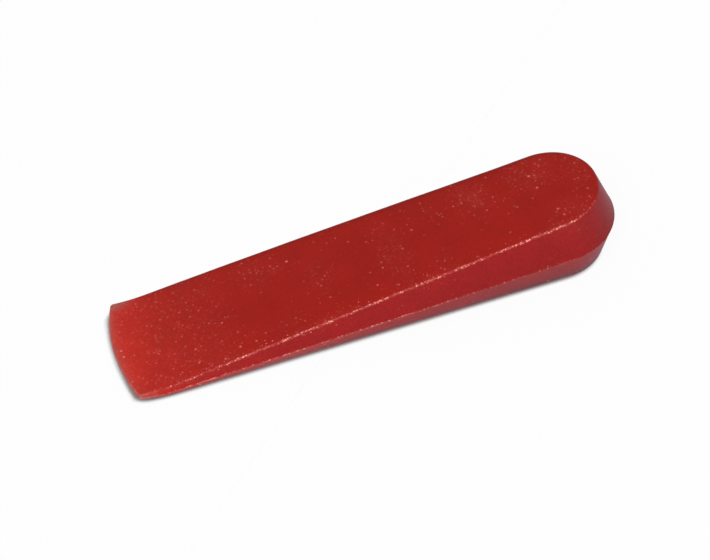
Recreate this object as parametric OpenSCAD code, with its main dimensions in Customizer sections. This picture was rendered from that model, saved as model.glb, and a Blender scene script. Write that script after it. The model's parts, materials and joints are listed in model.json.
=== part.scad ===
// Tile wedge spacer: one solid moulded wedge, pushed in thin edge first to set or level a tile.
// It rests on its lower bearing face. The mould parts half way between the two bearing faces,
// so the side wall leans inwards above and below a parting line that climbs with the wedge.
// The toe turns up towards the thin edge, so that the wedge starts easily under a tile.
// +X runs from the thin edge to the round thick end, +Z is up, and the origin is the centre
// of the base.

/* [Plan] */
// Length along the base, from the thin edge to the round end
length = 40; // [28:0.5:60]
// Width across the parting line
width = 10; // [8:0.1:18]
// Radius of the thin edge's arc, seen from above
thin_edge_arc_r = 16; // [12:0.5:40]

/* [Wedge] */
// Angle between the two bearing faces, in degrees
wedge_angle = 8.8; // [5:0.1:12]
// Distance between the two bearing faces, if they ran on to the thin edge
start_t = 0.38; // [0.32:0.02:1]

/* [Toe] */
// Length of the toe, from the thin edge to where both faces start to turn up
toe_len = 2.8; // [1:0.1:6]
// How far the thin edge is lifted off the surface that the wedge lies on
toe_rise = 0.46; // [0:0.02:0.6]
// Thickness of the thin edge
thin_edge_t = 0.34; // [0.26:0.02:0.8]

/* [Mould] */
// Height of the parting line at the thin edge, over the surface that the wedge lies on
parting_start = 0.14; // [0.1:0.02:0.24]
// Draft of the side wall, in degrees from the direction in which the mould opens
draft = 18.4; // [8:0.2:20]

/* [Hidden] */
$fn = 128;
plastic_red = [0.62, 0.14, 0.12];

// Each bearing face climbs away from the parting plane by half of the wedge's angle
half_angle = wedge_angle / 2;
slope = tan(half_angle);

// The bearing faces' distances from the parting plane, at the thin edge if they ran on to it,
// and where the toe ends
upper_start = start_t - parting_start;
lower_start = parting_start;
upper_at_toe = upper_start + slope * toe_len;
lower_at_toe = lower_start + slope * toe_len;

// Heights of the thin edge's underside and top over the parting plane, and where the toe's
// underside passes through that plane
edge_under = toe_rise - lower_start;
edge_top = edge_under + thin_edge_t;
toe_cross = max(0, toe_len * edge_under / (edge_under + lower_at_toe));

// How far the draft leans a wall in over a height
function lean(h) = h * tan(draft);

// The thin edge's leaning wall has its foot on the parting plane, or on the toe's underside
// where that is higher. The lean takes the foot in, and the tilt of the lying wedge takes it out.
edge_foot = edge_under > 0 ? edge_under / (1 + lean(edge_under) / toe_cross) : 0;
edge_in = lean(edge_foot) * cos(half_angle) - edge_foot * sin(half_angle);

// Length along the parting plane, which is tilted by half_angle when the wedge lies
mould_len = (length + edge_in) / cos(half_angle);
// Centre of the round end, whose parting line is a half circle as wide as the wedge
end_x = mould_len - width / 2;

// The bearing faces' distances from the parting plane at the far end
upper_end = upper_start + slope * mould_len;
lower_end = lower_start + slope * mould_len;

// Section of a drafted wall of a given height, from the middle out to its foot at half_w
function drafted_section(half_w, h) = [[0, 0], [half_w, 0], [half_w - lean(h), h], [0, h]];

// Side view above the parting plane. The toe's underside comes into it where it lies higher.
upper_view = [
    if (edge_under > 0) [0, edge_under],
    [toe_cross, 0],
    [mould_len, 0],
    [mould_len, upper_end],
    [toe_len, upper_at_toe],
    [0, edge_top]
];

// Side view below the parting plane, measured downwards
lower_view = [
    [toe_cross, 0],
    [mould_len, 0],
    [mould_len, lower_end],
    [toe_len, lower_at_toe],
    if (edge_under < 0) [0, -edge_under]
];

// Straight bar with drafted sides and a drafted half-round end, standing on the parting plane
module drafted_bar(h) {
    section = drafted_section(width / 2, h);
    rotate([90, 0, 90]) linear_extrude(end_x) {
        polygon(section);
        mirror([1, 0]) polygon(section);
    }
    translate([end_x, 0, 0]) rotate_extrude(angle = 180, start = -90) polygon(section);
}

// Everything behind the drafted arc of the thin edge
module behind_thin_edge(h) {
    translate([thin_edge_arc_r, 0, 0]) {
        cylinder(h = h, r1 = thin_edge_arc_r, r2 = thin_edge_arc_r - lean(h));
        translate([0, -width, 0]) cube([mould_len, 2 * width, h]);
    }
}

// Half of the wedge: a drafted bar of height h, cut to its side view and to the thin edge's arc
module half_wedge(side_view, h) {
    intersection() {
        drafted_bar(h);
        behind_thin_edge(h);
        rotate([90, 0, 0]) linear_extrude(2 * width, center = true) polygon(side_view);
    }
}

// The wedge, laid down on its lower bearing face
module wedge() {
    color(plastic_red)
    translate([-length / 2 - edge_in, 0, lower_start * cos(half_angle)]) rotate([0, -half_angle, 0]) {
        half_wedge(upper_view, upper_end);
        mirror([0, 0, 1]) half_wedge(lower_view, lower_end);
    }
}

wedge();
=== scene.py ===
"""Looks of the tile wedge spacer: one moulded wedge of red, slightly translucent plastic on a white table.

The mesh is worked out in the mould's frame: x runs along the parting plane from the thin edge, y across
the wedge and z away from the parting plane. The toe is then curled up, and the wedge is laid down on its
lower face, as the frame holds it. Sizes in the mesh code are millimetres.
"""
import json
import math

import bpy
import numpy as np
from mathutils import Matrix, Vector, noise
from mathutils.geometry import delaunay_2d_cdt

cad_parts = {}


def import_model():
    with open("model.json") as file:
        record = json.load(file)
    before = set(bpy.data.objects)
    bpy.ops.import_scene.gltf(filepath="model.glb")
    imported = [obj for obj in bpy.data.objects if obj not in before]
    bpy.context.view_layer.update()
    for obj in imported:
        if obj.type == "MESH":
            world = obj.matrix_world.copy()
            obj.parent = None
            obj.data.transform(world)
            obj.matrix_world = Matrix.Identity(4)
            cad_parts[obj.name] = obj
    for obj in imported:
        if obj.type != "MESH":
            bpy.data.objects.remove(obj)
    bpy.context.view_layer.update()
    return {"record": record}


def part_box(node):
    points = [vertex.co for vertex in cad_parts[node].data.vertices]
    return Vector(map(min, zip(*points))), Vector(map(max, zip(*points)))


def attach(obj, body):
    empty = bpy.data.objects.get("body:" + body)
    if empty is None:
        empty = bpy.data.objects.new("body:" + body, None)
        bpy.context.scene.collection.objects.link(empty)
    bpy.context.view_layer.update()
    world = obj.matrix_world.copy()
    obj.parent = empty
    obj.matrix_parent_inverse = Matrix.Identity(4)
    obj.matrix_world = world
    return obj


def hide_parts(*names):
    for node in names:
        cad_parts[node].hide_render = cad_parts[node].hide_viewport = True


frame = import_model()

MM = 0.001
NODE = "wedge"

# The wedge's box and the angle between its bearing faces come from the frame
BOX_LOW, BOX_HIGH = (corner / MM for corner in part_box(NODE))
LENGTH = BOX_HIGH.x - BOX_LOW.x
HALF_WIDTH = (BOX_HIGH.y - BOX_LOW.y) / 2
UPPER_FACE = next(m for m in frame["record"]["mounts"] if m["name"] == "upper_face")
HALF_ANGLE = math.atan2(-UPPER_FACE["axis"][0], UPPER_FACE["axis"][2]) / 2
SLOPE = math.tan(HALF_ANGLE)

# The side wall leans in above and below the parting line by the draft, and so is longer than it is high.
# The bearing faces start at these distances from the parting plane.
LEAN = math.tan(math.radians(18.4))
WALL_STRETCH = math.hypot(LEAN, 1)
UPPER_START = 0.24
LOWER_START = 0.14

# The thin edge is a shallow arc whose centre lies a little to the front; its corners are rounded
THIN_EDGE_R = 16.0
THIN_EDGE_CENTRE_Y = -0.25
FRONT_CORNER_R = 0.3
BACK_CORNER_R = 0.45

# The toe curls up over its length, the front corner more than the back one, and its top comes closer to the
# parting line there
TOE_LENGTH = 3.8
TOE_RISE = 0.69
TOE_TWIST = 0.13
TOE_UPPER_LOSS = 0.10

# The mould's x starts this far outside the box's end. The thin edge starts inside that end, by what its rise
# moves it out and a little spare, so that the curled toe stays within the box.
EDGE_IN = 0.0755
TIP_SPARE = 0.005
TIP_X = EDGE_IN + TOE_RISE * math.sin(HALF_ANGLE) + TIP_SPARE

# The parting line sags below the parting plane, more and more from the first of these distances from the
# thin edge to the second. The sag takes the round end's seam out, so the moulding is shorter by as much.
SEAM_SAG = 0.08
SAG_GROWS = (4.0, 24.0)
MOULD_LENGTH = (LENGTH + EDGE_IN) / math.cos(HALF_ANGLE) - SEAM_SAG * SLOPE

# Edge radii, larger below, behind and at the round end. None is more than this share of the wall's height.
UPPER_EDGE_R = 0.13
LOWER_EDGE_R = 0.32
END_EDGE_R = 0.28
BACK_EDGE_R = 0.36
MOST_OF_HEIGHT = 0.45

# The back wall stands out a little at its top, and bows out further along the thin part
BACK_OUT = 0.09
BACK_OUT_FULL = 3.0
BACK_BOW = 0.19
BACK_BOW_END = 32.0
BACK_BOW_SKEW = 0.65

# The seam stands a little proud of the walls, and the skin waves by a hundredth of a millimetre
SEAM_HALF_WIDTH = 0.05
SEAM_PROUD = 0.02
SURFACE_WAVE = 0.012
SURFACE_WAVE_SIZE = 3.5

# How fast the painted glow of light through the thin plastic fades as it gets thicker
GLOW_DEPTH = 0.5

# The edge's painted glints run along a line a little below its middle, and the seam's, which counts
# as far from that line, in a band of its own. They are at full strength from these distances from the thin
# edge on.
GLITTER_BELOW = 0.03
FAR_FROM_EDGE = 9.0
SEAM_BAND = 0.15
EDGE_GLITTER_FULL = 16.0
SEAM_GLITTER_FULL = 8.0

# The lower wall has painted shade, darker towards the table, over this share of its height. The lower face
# has it over this depth from its rim, and this much inside it. The thin edge is paler over a depth of its
# own.
FOOT_SHARE = 0.5
FOOT_DEPTH = 0.6
FACE_SHADE = 0.25
LIP_DEPTH = 0.22

# Distances from the thin edge between which the skin's painted light and shade change, from not at all
# to fully
THIN_PART = (24.0, 12.0)
SHADED_WALL = (19.0, 26.0)
SHADED_FOOT = (26.0, 34.0)
SHADED_BACK = (1.0, 4.0)
ROUND_END = (37.0, 39.0)

# Where the skin is scuffed: distance from the thin edge and from the middle, half length, half width, amount
SCUFFS = [
    (4.8, -1.0, 2.2, 4.0, 1.3),
    (6.0, -4.6, 4.2, 0.55, 1.8),
    (12.5, 2.9, 2.4, 1.6, 1.0),
    (13.6, -3.2, 1.8, 0.9, 0.6),
    (14.8, -4.3, 2.2, 0.4, 1.8),
    (16.8, 0.2, 1.3, 2.4, 0.6),
    (22.5, -0.9, 1.3, 4.0, 1.2),
    (24.0, -4.2, 2.4, 0.35, 1.3),
    (25.8, -2.9, 1.3, 1.2, 0.5),
    (26.5, 2.2, 0.7, 1.5, 0.7),
    (29.6, 2.2, 1.4, 2.1, 1.6),
    (31.8, 0.2, 1.2, 1.2, 0.6),
    (34.7, 2.1, 2.2, 2.0, 1.4),
    (35.2, -3.9, 1.8, 0.45, 2.2),
    (36.4, -2.6, 2.0, 1.1, 1.5),
    (37.8, 1.6, 1.3, 2.6, 1.1),
    (40.3, 0.0, 0.9, 5.0, 0.7),
]
TOE_SCUFF_FADES = (10.5, 7.5)
BACK_SCUFF = 0.12

# Mesh density. The crowding brings the wall's rings closer together near the edge. The rings by the seam
# have these heights over it, but at most these shares of the height of the last ring before them.
OUTLINE_STEP = 0.11
CORNER_STEPS = 10
EDGE_STEPS = 6
WALL_STEPS = 12
WALL_CROWDING = 0.45
SEAM_RINGS = ((0.16, 0.75), (0.09, 0.5), (0.04, 0.25))
RIM_DEPTHS = (0.05, 0.12, 0.21, 0.32)
CAP_STEP = 0.3

# The table lies this far below the wedge
FLOOR_DROP = 0.02


def between(value, start, full):
    """How far a value has come from start, where this is 0, to full, where it is 1. Full may be the lower."""
    return np.clip((value - start) / (full - start), 0, 1)


def patch(x, y, middle, size):
    """1 in the middle of a soft patch, fading out over its size along x and y."""
    return np.exp(-(((x - middle[0]) / size[0]) ** 2) - ((y - middle[1]) / size[1]) ** 2)


def outline():
    """Points and outward normals of the parting line, counterclockwise from the front side's thin end."""
    end_x = MOULD_LENGTH - HALF_WIDTH
    arc_centre = np.array((TIP_X + THIN_EDGE_R, THIN_EDGE_CENTRE_Y))
    points, normals = [], []

    def corner(y_sign, radius):
        """Centre of the circle that rounds a corner of the thin edge, and its direction from the arc's."""
        y = y_sign * (HALF_WIDTH - radius)
        across = y - arc_centre[1]
        back = math.sqrt((THIN_EDGE_R - radius) ** 2 - across**2)
        return np.array((arc_centre[0] - back, y)), math.atan2(across, -back) % math.tau

    def arc(centre, radius, start, stop, steps):
        for angle in np.linspace(start, stop, steps, endpoint=False):
            normal = np.array((math.cos(angle), math.sin(angle)))
            points.append(centre + radius * normal)
            normals.append(normal)

    def side(x_from, x_to, y_sign):
        for x in np.linspace(x_from, x_to, round(abs(x_to - x_from) / OUTLINE_STEP), endpoint=False):
            points.append(np.array((x, y_sign * HALF_WIDTH)))
            normals.append(np.array((0.0, y_sign)))

    front_centre, front_turn = corner(-1, FRONT_CORNER_R)
    back_centre, back_turn = corner(1, BACK_CORNER_R)
    quarter = math.pi / 2
    end_steps = round(math.pi * HALF_WIDTH / OUTLINE_STEP)
    edge_steps = round((front_turn - back_turn) * THIN_EDGE_R / OUTLINE_STEP)
    side(front_centre[0], end_x, -1)
    arc(np.array((end_x, 0)), HALF_WIDTH, -quarter, quarter, end_steps)
    side(end_x, back_centre[0], 1)
    arc(back_centre, BACK_CORNER_R, quarter, back_turn, CORNER_STEPS)
    arc(arc_centre, THIN_EDGE_R, back_turn, front_turn, edge_steps)
    arc(front_centre, FRONT_CORNER_R, front_turn, 3 * quarter, CORNER_STEPS)
    return np.array(points), np.array(normals)


def toe_ease(x):
    """1 at the thin edge, easing out to 0 where the toe starts."""
    return np.clip(1 - (x - TIP_X) / TOE_LENGTH, 0, None) ** 2


def upper_height(x):
    return UPPER_START + SLOPE * x - TOE_UPPER_LOSS * toe_ease(x)


def lower_height(x):
    return LOWER_START + SLOPE * x


def seam_sag(x):
    """How far the parting line lies below the parting plane at x."""
    return SEAM_SAG * between(x, *SAG_GROWS)


def back_bow(x):
    """How far the back wall's top stands out at x."""
    share = np.clip(x / BACK_BOW_END, 0, 1) ** BACK_BOW_SKEW
    return BACK_OUT * between(x, 0, BACK_OUT_FULL) + BACK_BOW * 4 * share * (1 - share)


def seat(x, y, z):
    """Points in the mould's frame, with the toe curled up, laid down on the lower face."""
    z = z + TOE_RISE * toe_ease(x) * (1 - TOE_TWIST * y / HALF_WIDTH)
    laid_x = x * math.cos(HALF_ANGLE) - z * math.sin(HALF_ANGLE) - LENGTH / 2 - EDGE_IN
    laid_z = x * math.sin(HALF_ANGLE) + (z + LOWER_START) * math.cos(HALF_ANGLE)
    return np.stack((laid_x, y + 0 * x, laid_z), -1)


def sharp_corner(points, normals, height):
    """Where a bearing face would meet the wall if its edge were sharp, as (in, up) for each outline point."""
    up = height(points[:, 0])
    for _ in range(30):
        up = height(points[:, 0] - normals[:, 0] * LEAN * up)
    return np.stack((LEAN * up, up), -1)


def face_direction(points, normals, height, corner):
    """Unit vectors in (in, up) that run from the sharp corner in over the bearing face."""
    step = 1e-3
    rise = (height(points[:, 0] - normals[:, 0] * (corner[:, 0] + step)) - corner[:, 1]) / step
    face = np.stack((np.ones_like(rise), rise), -1)
    return face / np.linalg.norm(face, axis=1)[:, None]


def edge_radius(normals, edge_r):
    """The edge's radius at each outline point."""
    on_end = np.clip(normals[:, 0], 0, 1) * np.clip(0.6 - normals[:, 1], 0, 1)
    on_back = np.clip(normals[:, 1], 0, 1)
    return edge_r + max(END_EDGE_R - edge_r, 0) * on_end + max(BACK_EDGE_R - edge_r, 0) * on_back


def half_rings(points, normals, height, edge_r):
    """Rings of one half, from the bearing face's rim out over its rounded edge and down the wall to the seam.

    Returns (in, up) for each outline point and profile step, how far the point lies inwards of the outline
    and away from the parting plane, and each step's distance from the line along which the edge glitters.
    """
    corner = sharp_corner(points, normals, height)
    face = face_direction(points, normals, height, corner)
    wall = np.array((-LEAN, -1.0)) / WALL_STRETCH
    half_turn = np.arccos(np.clip(face @ wall, -1, 1)) / 2
    radius = np.minimum(edge_radius(normals, edge_r), MOST_OF_HEIGHT * corner[:, 1])
    tangent = (radius / np.tan(half_turn))[:, None]
    middle = face + wall
    middle /= np.linalg.norm(middle, axis=1)[:, None]
    centre = corner + middle * (radius / np.sin(half_turn))[:, None]
    from_face = corner + face * tangent - centre
    from_wall = corner + wall * tangent - centre
    sweep = np.arccos(np.clip((from_face * from_wall).sum(1) / radius**2, -1, 1))

    rings, below_edge = [], []
    for t in np.linspace(0, 1, EDGE_STEPS + 1):
        a, b = np.sin((1 - t) * sweep) / np.sin(sweep), np.sin(t * sweep) / np.sin(sweep)
        rings.append(centre + a[:, None] * from_face + b[:, None] * from_wall)
        below_edge.append((t - 0.5) * sweep * radius)
    foot = rings[-1][:, 1]
    shares = np.linspace(0, 1, WALL_STEPS, endpoint=False)[1:]
    heights = [foot * (1 - t) * (1 + WALL_CROWDING * t) for t in shares]
    heights += [np.minimum(near, share * heights[-1]) for near, share in SEAM_RINGS]
    for up in heights:
        rings.append(np.stack((LEAN * up, up), -1))
        below_edge.append((foot - up) * WALL_STRETCH + 0.5 * sweep * radius)
    return np.stack(rings, 1), np.abs(np.stack(below_edge, 1) - GLITTER_BELOW)


def seam_relief(up):
    """How far the wall lies behind the outline: the seam stands a little proud of the walls."""
    return SEAM_PROUD * (1 - np.exp(-((up / SEAM_HALF_WIDTH) ** 2)))


def wall_rings(points, normals):
    """The whole side wall, its edges and its seam, from the upper face's rim to the lower face's.

    Returns, for each outline point and profile step, how far it lies inwards of the outline, its height over
    the parting plane, that height with the seam's sag, and its distance from the line of glitter.
    """
    upper, upper_edge = half_rings(points, normals, upper_height, UPPER_EDGE_R)
    lower, lower_edge = half_rings(points, normals, lower_height, LOWER_EDGE_R)
    # The back wall bows out, but its top stays behind the seam
    bow = back_bow(points[:, :1]) * np.clip(normals[:, 1:], 0, 1)
    bow = np.minimum(bow, LEAN * upper[:, :1, 1] + 0.7 * SEAM_PROUD)
    upper[..., 0] -= bow * upper[..., 1] / upper[:, :1, 1]
    seam = np.zeros((len(points), 1))
    into = np.concatenate((upper[..., 0], seam, lower[:, ::-1, 0]), 1)
    up = np.concatenate((upper[..., 1], seam, -lower[:, ::-1, 1]), 1)
    edge = np.concatenate((upper_edge, seam + FAR_FROM_EDGE, lower_edge[:, ::-1]), 1)
    foot = np.where(up > 0, upper[:, EDGE_STEPS, 1:], lower[:, EDGE_STEPS, 1:])
    level = up - seam_sag(points[:, :1]) * np.clip(1 - np.abs(up) / foot, 0, 1)
    return into + seam_relief(up), up, level, edge


def wall_faces(count, steps):
    """Four-cornered faces between each outline point's profile steps and the next one's."""
    faces = []
    for i in range(count):
        here = i * steps
        there = (i + 1) % count * steps
        faces += [(here + k, here + k + 1, there + k + 1, there + k) for k in range(steps - 1)]
    return faces


def cap(ring):
    """Fills a bearing face inside its rim of (x, y) points: (inner points, their depths, triangles)."""
    ahead = np.roll(ring, -1, 0) - ring
    inward = np.stack((-ahead[:, 1], ahead[:, 0]), -1)
    inward /= np.linalg.norm(inward, axis=1)[:, None]
    at_point = inward + np.roll(inward, 1, 0)
    at_point /= np.linalg.norm(at_point, axis=1)[:, None]

    def depth(spots):
        """How far each spot lies inside the ring, negative outside it."""
        away = spots[:, None] - ring[None]
        share = np.clip((away * ahead[None]).sum(-1) / (ahead**2).sum(-1)[None], 0, 1)
        away = away - share[..., None] * ahead[None]
        distance = np.linalg.norm(away, axis=-1)
        nearest = distance.argmin(1)
        rows = np.arange(len(spots))
        side = (away[rows, nearest] * inward[nearest]).sum(-1)
        return np.copysign(distance[rows, nearest], side)

    inner = []
    for wanted in RIM_DEPTHS:
        spots = ring + at_point * wanted
        inner.append(spots[depth(spots) > 0.9 * wanted])
    low, high = ring.min(0), ring.max(0)
    rows = np.arange(low[1], high[1], CAP_STEP * math.sqrt(3) / 2)
    grid = np.array([(x + (i % 2) * CAP_STEP / 2, y) for i, y in enumerate(rows)
                     for x in np.arange(low[0], high[0], CAP_STEP)])
    inner.append(grid[depth(grid) > RIM_DEPTHS[-1] + 0.4 * CAP_STEP])
    inner = np.concatenate(inner)
    flat = [Vector(p) for p in np.vstack((ring, inner))]
    made = delaunay_2d_cdt(flat, [], [list(range(len(ring)))], 1, 1e-6)
    if len(made[0]) != len(flat):
        raise RuntimeError("the cap's points were merged or split")
    order = [ids[0] for ids in made[3]]
    return inner, depth(inner), [tuple(order[i] for i in triangle) for triangle in made[2]]


def faces_front(x, y):
    """1 at the front side, -1 at the back, turning from one to the other round the end."""
    past_straight = np.maximum(x - (MOULD_LENGTH - HALF_WIDTH), 0)
    return -y / np.maximum(np.hypot(past_straight, y), 1e-6)


def behind_lip(x, y):
    """Distance from the thin edge's arc, along the wedge."""
    lip_x = TIP_X + THIN_EDGE_R - np.sqrt(THIN_EDGE_R**2 - (y - THIN_EDGE_CENTRE_Y) ** 2)
    return np.maximum(x - lip_x, 0)


def scuffing(x, y):
    """How scuffed the skin is: 0 to 1, or more where flecks lie thickest."""
    amount = between(x, *TOE_SCUFF_FADES) * np.clip(0.6 + x / 8, 0, 1)
    amount = np.maximum(amount, BACK_SCUFF * np.clip(y / HALF_WIDTH + 0.3, 0, 1))
    for along, across, half_length, half_width, most in SCUFFS:
        reach = ((x - along) / half_length) ** 2 + ((y - across) / half_width) ** 2
        amount = np.maximum(amount, most * np.exp(-(reach**1.5)))
    return amount


def glinting(x, y, up):
    """How strong the painted glints on an edge are: most along the front, less towards the thin edge,
    hardly round the end.
    """
    on_seam = np.abs(up) < SEAM_BAND
    along = np.clip(x / np.where(on_seam, SEAM_GLITTER_FULL, EDGE_GLITTER_FULL), 0, 1)
    facing = np.clip(faces_front(x, y), 0, 1)
    seam_fade = np.clip((32 - x) / 8, 0.4, 1)
    edge_fade = np.clip((39.5 - x) / 4, 0.3, 1)
    eased = along**2 * (3 - 2 * along)
    return (0.15 + 0.85 * eased) * (0.06 + 0.94 * facing**8) * np.where(on_seam, seam_fade, edge_fade)


def beading(x, y, edge, on_wall):
    """Where painted glints are strewn thickly along the thin part's front edge, mostly on its upper face:
    0 to 1.
    """
    along = between(x, 0.5, 3.5) * np.clip((24 - x) / 8, 0.4, 1)
    reach = np.where(on_wall, 0.12, 0.38)
    return along * np.clip(faces_front(x, y), 0, 1) ** 4 * np.exp(-edge / reach)


def lip_paling(x, y, up, on_wall):
    """How much paler the thin edge, its corners and the thin part's lower wall are: 0 to 1.5.
    On the thin part's lower wall this is painted light.
    """
    rim = 1.25 * np.exp(-behind_lip(x, y) / LIP_DEPTH) * (1 - 0.5 * between(-y, 1, 4))
    back_corner = 1.5 * patch(x, y, (0.6, HALF_WIDTH), (1.5, 0.65))
    front_corner = 0.6 * on_wall * patch(x, y, (0.9, -HALF_WIDTH), (0.9, 0.5))
    low_wall = 0.2 * on_wall * (up < -0.1) * np.exp(-(((x - 12.5) / 5.5) ** 2))
    return np.maximum.reduce((rim, back_corner, front_corner, low_wall))


def toning(x, y, up, edge):
    """Painted light and shade: how bright the skin is made, where the plastic's own colour is 1."""
    height = np.where(up > 0, upper_height(x), lower_height(x))
    share = np.clip(np.abs(up) / height, 0, 1)
    front = faces_front(x, y)
    round_end = between(x, *ROUND_END)

    # The walls' painted light and shade
    seam_shade = 0.1 * (1 - share) * between(x, *SHADED_WALL)
    end_light = 0.22 * round_end * between(front, 0.2, -0.3)
    thin_light = between(x, *THIN_PART) * (0.08 + 0.3 * np.clip(1 - 1.8 * share, 0, 1))
    foot_shade = 0.2 * between(x, *SHADED_FOOT) * np.clip(1.4 * share - 0.3, 0, 1)
    wall = np.where(up > 0, 1 - seam_shade + end_light, 1 + thin_light - foot_shade)

    # The faces' painted light by the front edge and painted shade by the toe's front corner
    front_light = 0.07 * np.clip(-y / HALF_WIDTH, 0, 1) ** 2
    corner_shade = 0.2 * patch(x, y, (1, -HALF_WIDTH), (1.6, 1.3))
    on_face = share > 0.97
    tone = np.where(on_face, 1 + front_light - corner_shade, wall)

    # Painted shade along the back edge, at the round end's seam and on the thin edge's front
    back_edge_shade = 0.8 * np.clip(-0.1 - front, 0, 1) * np.exp(-edge / 0.16) * between(x, *SHADED_BACK)
    end_seam_shade = 0.4 * round_end * between(front, 0.7, 0.3) * np.exp(-((up / 0.16) ** 2))
    lip_shade = 0.38 * np.exp(-behind_lip(x, y) / 0.12) * np.clip(0.3 - y / 4, 0, 1)
    return tone - back_edge_shade - end_seam_shade - lip_shade


def foot_darkening(x, up):
    """Painted shade at the wall's foot: 1 at its lower edge, and 0 above a share of the lower wall's height.
    """
    return between(up / lower_height(x), FOOT_SHARE - 1, -1)


def skin_masks(spots, on_wall, edge):
    """The masks that follow from where each point (x, y, up) of the skin lies."""
    x, y, up = spots.T
    thicker = upper_height(x) + lower_height(x) - UPPER_START - LOWER_START
    return {
        "thin": np.exp(-thicker / GLOW_DEPTH),
        "wall": (on_wall & (up > 0)) * between(faces_front(x, y), 0.3, 0.8),
        "rough": on_wall.astype(float),
        "scuff": scuffing(x, y),
        "glint": glinting(x, y, up),
        "lip": lip_paling(x, y, up, on_wall),
        "tone": toning(x, y, up, edge),
        "bead": beading(x, y, edge, on_wall),
    }


def wedge_mesh():
    """The wedge as one closed mesh in metres, with its masks as point attributes."""
    points, normals = outline()
    into, up, level, edge = wall_rings(points, normals)
    count, steps = up.shape
    x = points[:, None, 0] - normals[:, None, 0] * into
    y = points[:, None, 1] - normals[:, None, 1] * into
    faces = wall_faces(count, steps)
    spots = [np.stack((x, y, up), -1).reshape(-1, 3)]
    levels = [level.ravel()]
    masks = {"edge": [edge.ravel()], "seam": [np.abs(up).ravel()], "foot": [foot_darkening(x, up).ravel()]}
    total = count * steps
    for sign, column, height in ((1, 0, upper_height), (-1, steps - 1, lower_height)):
        inner, depth, triangles = cap(np.stack((x[:, column], y[:, column]), -1))
        ids = [i * steps + column for i in range(count)] + list(range(total, total + len(inner)))
        faces += [tuple(ids[i] for i in triangle[::sign]) for triangle in triangles]
        levels.append(sign * height(inner[:, 0]))
        spots.append(np.stack((inner[:, 0], inner[:, 1], levels[-1]), -1))
        masks["edge"].append(depth + edge[:, column].mean())
        masks["seam"].append(height(inner[:, 0]))
        masks["foot"].append((sign < 0) * (FACE_SHADE + (1 - FACE_SHADE) * np.exp(-depth / FOOT_DEPTH)))
        total += len(inner)
    spots = np.concatenate(spots)
    masks = {name: np.concatenate(parts) for name, parts in masks.items()}
    masks.update(skin_masks(spots, np.arange(total) < count * steps, masks["edge"]))

    mesh = bpy.data.meshes.new(NODE + "_moulded")
    laid = seat(spots[:, 0], spots[:, 1], np.concatenate(levels))
    mesh.from_pydata([tuple(v) for v in laid * MM], [], faces)
    mesh.validate()
    mesh.update()
    for name, spread in masks.items():
        mesh.attributes.new(name, "FLOAT", "POINT").data.foreach_set("value", spread.astype(np.float32))
    return mesh


def roughen(mesh):
    """Moves the points in by slow waves, as a moulding's skin has."""
    normals = np.zeros(len(mesh.vertices) * 3)
    mesh.vertices.foreach_get("normal", normals)
    normals = normals.reshape(-1, 3)
    co = np.zeros(len(mesh.vertices) * 3)
    mesh.vertices.foreach_get("co", co)
    co = co.reshape(-1, 3)
    wave = np.array([noise.fractal(Vector(p / MM / SURFACE_WAVE_SIZE), 1.0, 2.0, 3) for p in co])
    co += normals * (SURFACE_WAVE * MM * (np.clip(wave, -1, 1) - 1) / 2)[:, None]
    mesh.vertices.foreach_set("co", co.reshape(-1))
    mesh.update()


class Nodes:
    """Short calls for building a material's node tree."""

    def __init__(self, tree):
        self.tree = tree
        tree.nodes.clear()

    def add(self, kind, inputs=None, **settings):
        node = self.tree.nodes.new(kind)
        for name, value in settings.items():
            setattr(node, name, value)
        for key, value in (inputs or {}).items():
            self.put(node.inputs[key], value)
        return node

    def put(self, socket, value):
        if isinstance(value, bpy.types.NodeSocket):
            self.tree.links.new(value, socket)
        else:
            socket.default_value = value

    def math(self, operation, a, b=0.0, clamp=False):
        node = self.add("ShaderNodeMath", operation=operation, use_clamp=clamp)
        self.put(node.inputs[0], a)
        self.put(node.inputs[1], b)
        return node.outputs[0]

    def product(self, first, *others):
        for other in others:
            first = self.math("MULTIPLY", first, other)
        return first

    def largest(self, first, *others):
        for other in others:
            first = self.math("MAXIMUM", first, other)
        return first

    def ramp(self, value, low, high, out_low=0.0, out_high=1.0):
        """value taken from low..high to out_low..out_high, smoothly and held at both ends."""
        node = self.add("ShaderNodeMapRange", interpolation_type="SMOOTHSTEP")
        names = ("Value", "From Min", "From Max", "To Min", "To Max")
        for name, setting in zip(names, (value, low, high, out_low, out_high)):
            self.put(node.inputs[name], setting)
        return node.outputs["Result"]

    def mix(self, factor, a, b):
        node = self.add("ShaderNodeMix", data_type="RGBA")
        self.put(node.inputs["Factor"], factor)
        self.put(node.inputs["A"], a)
        self.put(node.inputs["B"], b)
        return node.outputs["Result"]

    def mask(self, name):
        return self.add("ShaderNodeAttribute", attribute_name=name).outputs["Fac"]

    def noise(self, place, size_mm, detail=2.0, rough=0.5):
        """Noise whose features are about size_mm across."""
        inputs = {"Vector": place, "Scale": 1 / (size_mm * MM), "Detail": detail, "Roughness": rough}
        return self.add("ShaderNodeTexNoise", inputs).outputs["Fac"]

    def flecks(self, place, cell_mm, radius_mm, share, least, most):
        """Small round flecks in a share of a grid's cells, most of them near the least brightness."""
        grid = {"Vector": place, "Scale": 1 / (cell_mm * MM), "Randomness": 1.0}
        cells = self.add("ShaderNodeTexVoronoi", grid)
        dot = self.ramp(cells.outputs["Distance"], 0.0, radius_mm / cell_mm, 1.0, 0.0)
        chance = self.add("ShaderNodeSeparateColor", {"Color": cells.outputs["Color"]})
        present = self.math("LESS_THAN", chance.outputs["Red"], share)
        skewed = self.math("POWER", chance.outputs["Green"], 3.0)
        bright = self.math("ADD", self.math("MULTIPLY", skewed, most - least), least)
        return self.product(dot, present, bright)


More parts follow.
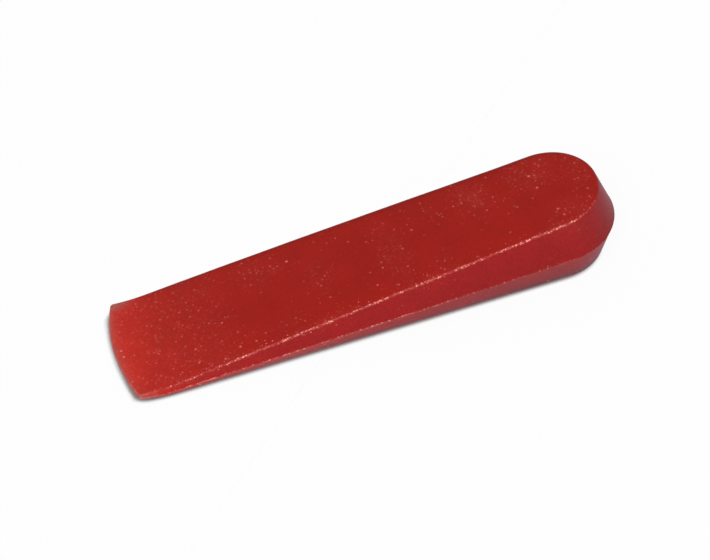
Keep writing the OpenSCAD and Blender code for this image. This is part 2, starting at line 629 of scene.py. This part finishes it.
def plastic_color(n, place):
    """The plastic: painted glow where thin, paler where scuffed or at the lip, painted shade at its foot."""
    deep_red = (0.340, 0.0078, 0.0034, 1)
    # Painted sheen: where the upper wall faces the front it is bluer, as a reflection would make it
    wall_sheen_red = (0.345, 0.0086, 0.0088, 1)
    # Painted glow: the thin part is brighter, as light shining through it would make it
    thin_glow_red = (0.655, 0.0310, 0.0175, 1)
    worn_red = (0.355, 0.0160, 0.0115, 1)
    foot_shade_red = (0.150, 0.0280, 0.0350, 1)
    lip_pink = (0.400, 0.1300, 0.1100, 1)

    body = n.mix(n.mask("thin"), n.mix(n.mask("wall"), deep_red, wall_sheen_red), thin_glow_red)
    haze = n.ramp(n.noise(place, 1.1, 3.0), 0.35, 0.7, 0.08, 0.36)
    body = n.mix(n.product(n.mask("scuff"), haze), body, worn_red)
    # Painted shade at the lower wall's foot and over the lower face, towards the table
    shade_patches = n.ramp(n.noise(place, 0.9, 3.0), 0.35, 0.65, 0.55, 0.95)
    body = n.mix(n.product(n.ramp(n.mask("foot"), 0.0, 1.0), shade_patches), body, foot_shade_red)
    # Paler thin edge and corners; on the thin part's lower wall this paleness is painted light
    lip_patchiness = n.ramp(n.noise(place, 0.35, 2.0), 0.3, 0.7, 0.7, 1.1)
    body = n.mix(n.product(n.mask("lip"), lip_patchiness), body, lip_pink)

    # A fine speckle, stronger on the walls, over faint clouds
    fine = n.math("SUBTRACT", n.noise(place, 0.16, 3.0, 0.65), 0.5)
    speckle = n.product(fine, n.ramp(n.mask("rough"), 0.0, 1.0, 0.6, 0.9))
    clouds = n.ramp(n.noise(place, 2.4, 2.0), 0.3, 0.7, 0.96, 1.04)
    # The tone mask brings in the painted light and shade of toning()
    shade = n.product(n.math("ADD", speckle, 1.0), clouds, n.mask("tone"))
    return n.add("ShaderNodeVectorMath", {0: body, 1: shade}, operation="MULTIPLY").outputs[0]


def scuff_glints(n, place):
    """Brightness of the painted glints: flecks of three sizes, dense where scuffed, and beads by the front
    edge.
    """
    strays = n.ramp(n.noise(place, 2.2, 1.0), 0.5, 0.66, 0.04, 0.24)
    patches = n.product(n.mask("scuff"), n.ramp(n.noise(place, 0.8, 2.0), 0.35, 0.65, 0.45, 1.4))
    fewer_on_wall = n.ramp(n.mask("wall"), 0.0, 1.0, 1.0, 0.35)
    share = n.product(n.largest(patches, strays), fewer_on_wall)
    faint_glints = n.flecks(place, 0.21, 0.12, n.product(share, 0.8), 0.015, 0.08)
    dots = n.flecks(place, 0.27, 0.14, n.product(share, 0.55), 0.045, 0.32)
    sparks = n.flecks(place, 0.7, 0.15, n.product(share, 0.75), 0.12, 0.85)
    strewn = n.product(n.mask("bead"), n.ramp(n.noise(place, 1.6, 1.0), 0.4, 0.6, 0.5, 1.2))
    beads = n.flecks(place, 0.17, 0.1, strewn, 0.06, 0.7)
    return n.largest(faint_glints, dots, sparks, beads)


def glitter(n, place):
    """Brightness of the painted glints along the edges and the parting line."""
    grit = n.math("ADD", n.flecks(place, 0.14, 0.1, 0.75, 0.1, 1.7), 0.05)
    runs = n.ramp(n.noise(place, 0.4, 3.0), 0.38, 0.6, 0.3, 1.05)
    jagged = n.product(n.math("SUBTRACT", n.noise(place, 0.25, 2.0), 0.5), 0.16)
    on_edge = n.ramp(n.math("ADD", n.mask("edge"), jagged), 0.03, 0.14, 3.9, 0.0)
    on_seam = n.ramp(n.mask("seam"), 0.03, 0.12, 2.7, 0.0)
    return n.product(n.largest(on_edge, on_seam), grit, runs, n.mask("glint"))


def red_plastic():
    material = bpy.data.materials.new("red_plastic")
    material.use_nodes = True
    n = Nodes(material.node_tree)
    place = n.add("ShaderNodeTexCoord").outputs["Object"]
    # Painted glints lighten the colour to pale pink; the flecks are also raised in the bump below
    glint_pink = (0.95, 0.33, 0.28, 1)
    bright = n.math("MAXIMUM", scuff_glints(n, place), glitter(n, place), clamp=True)

    # The mould's fine grain, with the flecks proud of it
    grain = n.noise(place, 0.12, 3.0, 0.6)
    height = n.product(n.math("ADD", grain, bright), 0.6)
    strength = n.ramp(n.mask("rough"), 0.0, 1.0, 0.35, 0.5)
    bump = n.add("ShaderNodeBump", {"Height": height, "Strength": strength, "Distance": 0.02 * MM})
    shader = n.add("ShaderNodeBsdfPrincipled", {
        "Base Color": n.mix(bright, plastic_color(n, place), glint_pink),
        "Roughness": n.ramp(grain, 0.3, 0.7, 0.40, 0.54),
        "Specular IOR Level": 0.18,
        "Subsurface Weight": 0.25,
        "Subsurface Radius": (1.0, 0.25, 0.15),
        "Subsurface Scale": 0.5 * MM,
        "Normal": bump.outputs["Normal"],
    })
    n.add("ShaderNodeOutputMaterial", {"Surface": shader.outputs["BSDF"]})
    return material


def seen_directly(n):
    """1 for a ray that comes from the camera, or by a mirror or glass, and 0 for one that brings light."""
    path = n.add("ShaderNodeLightPath").outputs
    return n.largest(path["Is Camera Ray"], path["Is Glossy Ray"], path["Is Transmission Ray"])


def openness(n, distance_mm, towards):
    """How much of the space towards a direction is open, within a distance: 0 to 1."""
    normal = n.add("ShaderNodeCombineXYZ", dict(zip("XYZ", towards))).outputs[0]
    around = {"Distance": distance_mm * MM, "Normal": normal}
    return n.add("ShaderNodeAmbientOcclusion", around, samples=16).outputs["AO"]


def white_table():
    """Nearly all white when seen directly, but for a painted shadow close round the object."""
    material = bpy.data.materials.new("white_table")
    material.use_nodes = True
    n = Nodes(material.node_tree)
    matt = n.add("ShaderNodeBsdfDiffuse", {"Color": (0.86, 0.86, 0.86, 1)})
    in_view = n.add("ShaderNodeLightPath").outputs["Is Camera Ray"]

    # The painted shadow darkens with the space towards the right that the object shuts off, near by and a
    # little farther off, and is painted redder, as light off the plastic would make it
    near = n.ramp(openness(n, 0.6, (0.62, 0.0, 0.78)), 0.34, 0.81, 0.15, 1.0)
    far = n.ramp(openness(n, 1.1, (0.8, -0.3, 0.52)), 0.55, 0.71, 0.2, 1.0)
    shaded = n.math("MINIMUM", near, far)
    reddened = n.mix(n.ramp(shaded, 0.15, 0.7), (1, 0.7, 0.69, 1), (1, 1, 1, 1))
    reflected = (0.78, 0.85, 1, 1)
    white = n.add("ShaderNodeEmission", {
        "Color": n.mix(in_view, reflected, reddened),
        "Strength": n.largest(shaded, n.math("SUBTRACT", 1.0, in_view)),
    })
    mixed = n.add("ShaderNodeMixShader", {
        0: n.product(seen_directly(n), 0.94),
        1: matt.outputs[0],
        2: white.outputs[0],
    })
    n.add("ShaderNodeOutputMaterial", {"Surface": mixed.outputs[0]})
    return material


def floor():
    """A plain table, a hair below the wedge."""
    half_size = 4.0
    corners = [(x * half_size, y * half_size, 0) for x, y in ((-1, -1), (1, -1), (1, 1), (-1, 1))]
    mesh = bpy.data.meshes.new("floor")
    mesh.from_pydata(corners, [], [(0, 1, 2, 3)])
    mesh.materials.append(white_table())
    table = bpy.data.objects.new("floor", mesh)
    table.location.z = -FLOOR_DROP * MM
    bpy.context.scene.collection.objects.link(table)


def world():
    """Soft grey light from all round, with a white backdrop that fades towards the ceiling in reflections."""
    studio = bpy.data.worlds.new("studio")
    studio.use_nodes = True
    n = Nodes(studio.node_tree)
    fill = (0.5, 0.5, 0.5, 1)
    ceiling = (0.3, 0.3, 0.3, 1)
    direction = n.add("ShaderNodeTexCoord").outputs["Generated"]
    up = n.add("ShaderNodeSeparateXYZ", {"Vector": direction}).outputs["Z"]
    backdrop = n.mix(n.ramp(up, 0.2, 0.7), (1, 1, 1, 1), ceiling)
    color = n.mix(seen_directly(n), fill, backdrop)
    background = n.add("ShaderNodeBackground", {"Color": color, "Strength": 1.0})
    n.add("ShaderNodeOutputWorld", {"Surface": background.outputs[0]})
    bpy.context.scene.world = studio


def soft_light(name, place, size, watts):
    lamp = bpy.data.lights.new(name, "AREA")
    lamp.shape = "DISK"
    lamp.size = size
    lamp.energy = watts
    light = bpy.data.objects.new(name, lamp)
    light.location = place
    light.rotation_euler = (-Vector(place)).to_track_quat("-Z", "Y").to_euler()
    bpy.context.scene.collection.objects.link(light)


def camera():
    """The photograph's view, found from the wedge's outline and edges in it."""
    azimuth, elevation, roll = (math.radians(a) for a in (-14.745, 46.132, -4.415))
    distance = 177.85 * MM
    look = Vector((-0.459, 1.519, 0)) * MM
    focal_px, image_px = 2299.7, 710
    level = math.cos(elevation)
    back = Vector((math.sin(azimuth) * level, -math.cos(azimuth) * level, math.sin(elevation)))
    right = Vector((math.cos(azimuth), math.sin(azimuth), 0))
    up = back.cross(right)
    rolled_right = right * math.cos(roll) + up * math.sin(roll)
    rolled_up = up * math.cos(roll) - right * math.sin(roll)
    data = bpy.data.cameras.new("camera")
    data.sensor_width = 36
    data.lens = focal_px * data.sensor_width / image_px
    data.clip_start = 1 * MM
    view = bpy.data.objects.new("camera", data)
    turn = Matrix((rolled_right, rolled_up, back)).transposed()
    view.matrix_world = Matrix.Translation(look + back * distance) @ turn.to_4x4()
    bpy.context.scene.collection.objects.link(view)
    bpy.context.scene.camera = view


def wedge():
    mesh = wedge_mesh()
    roughen(mesh)
    mesh.shade_smooth()
    mesh.materials.append(red_plastic())
    piece = bpy.data.objects.new("wedge_body", mesh)
    bpy.context.scene.collection.objects.link(piece)
    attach(piece, "root")
    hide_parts(NODE)


camera()
wedge()
floor()
world()
soft_light("key", (-0.32, -0.45, 0.68), 0.45, 4.6)
bpy.context.scene.view_settings.view_transform = "Standard"
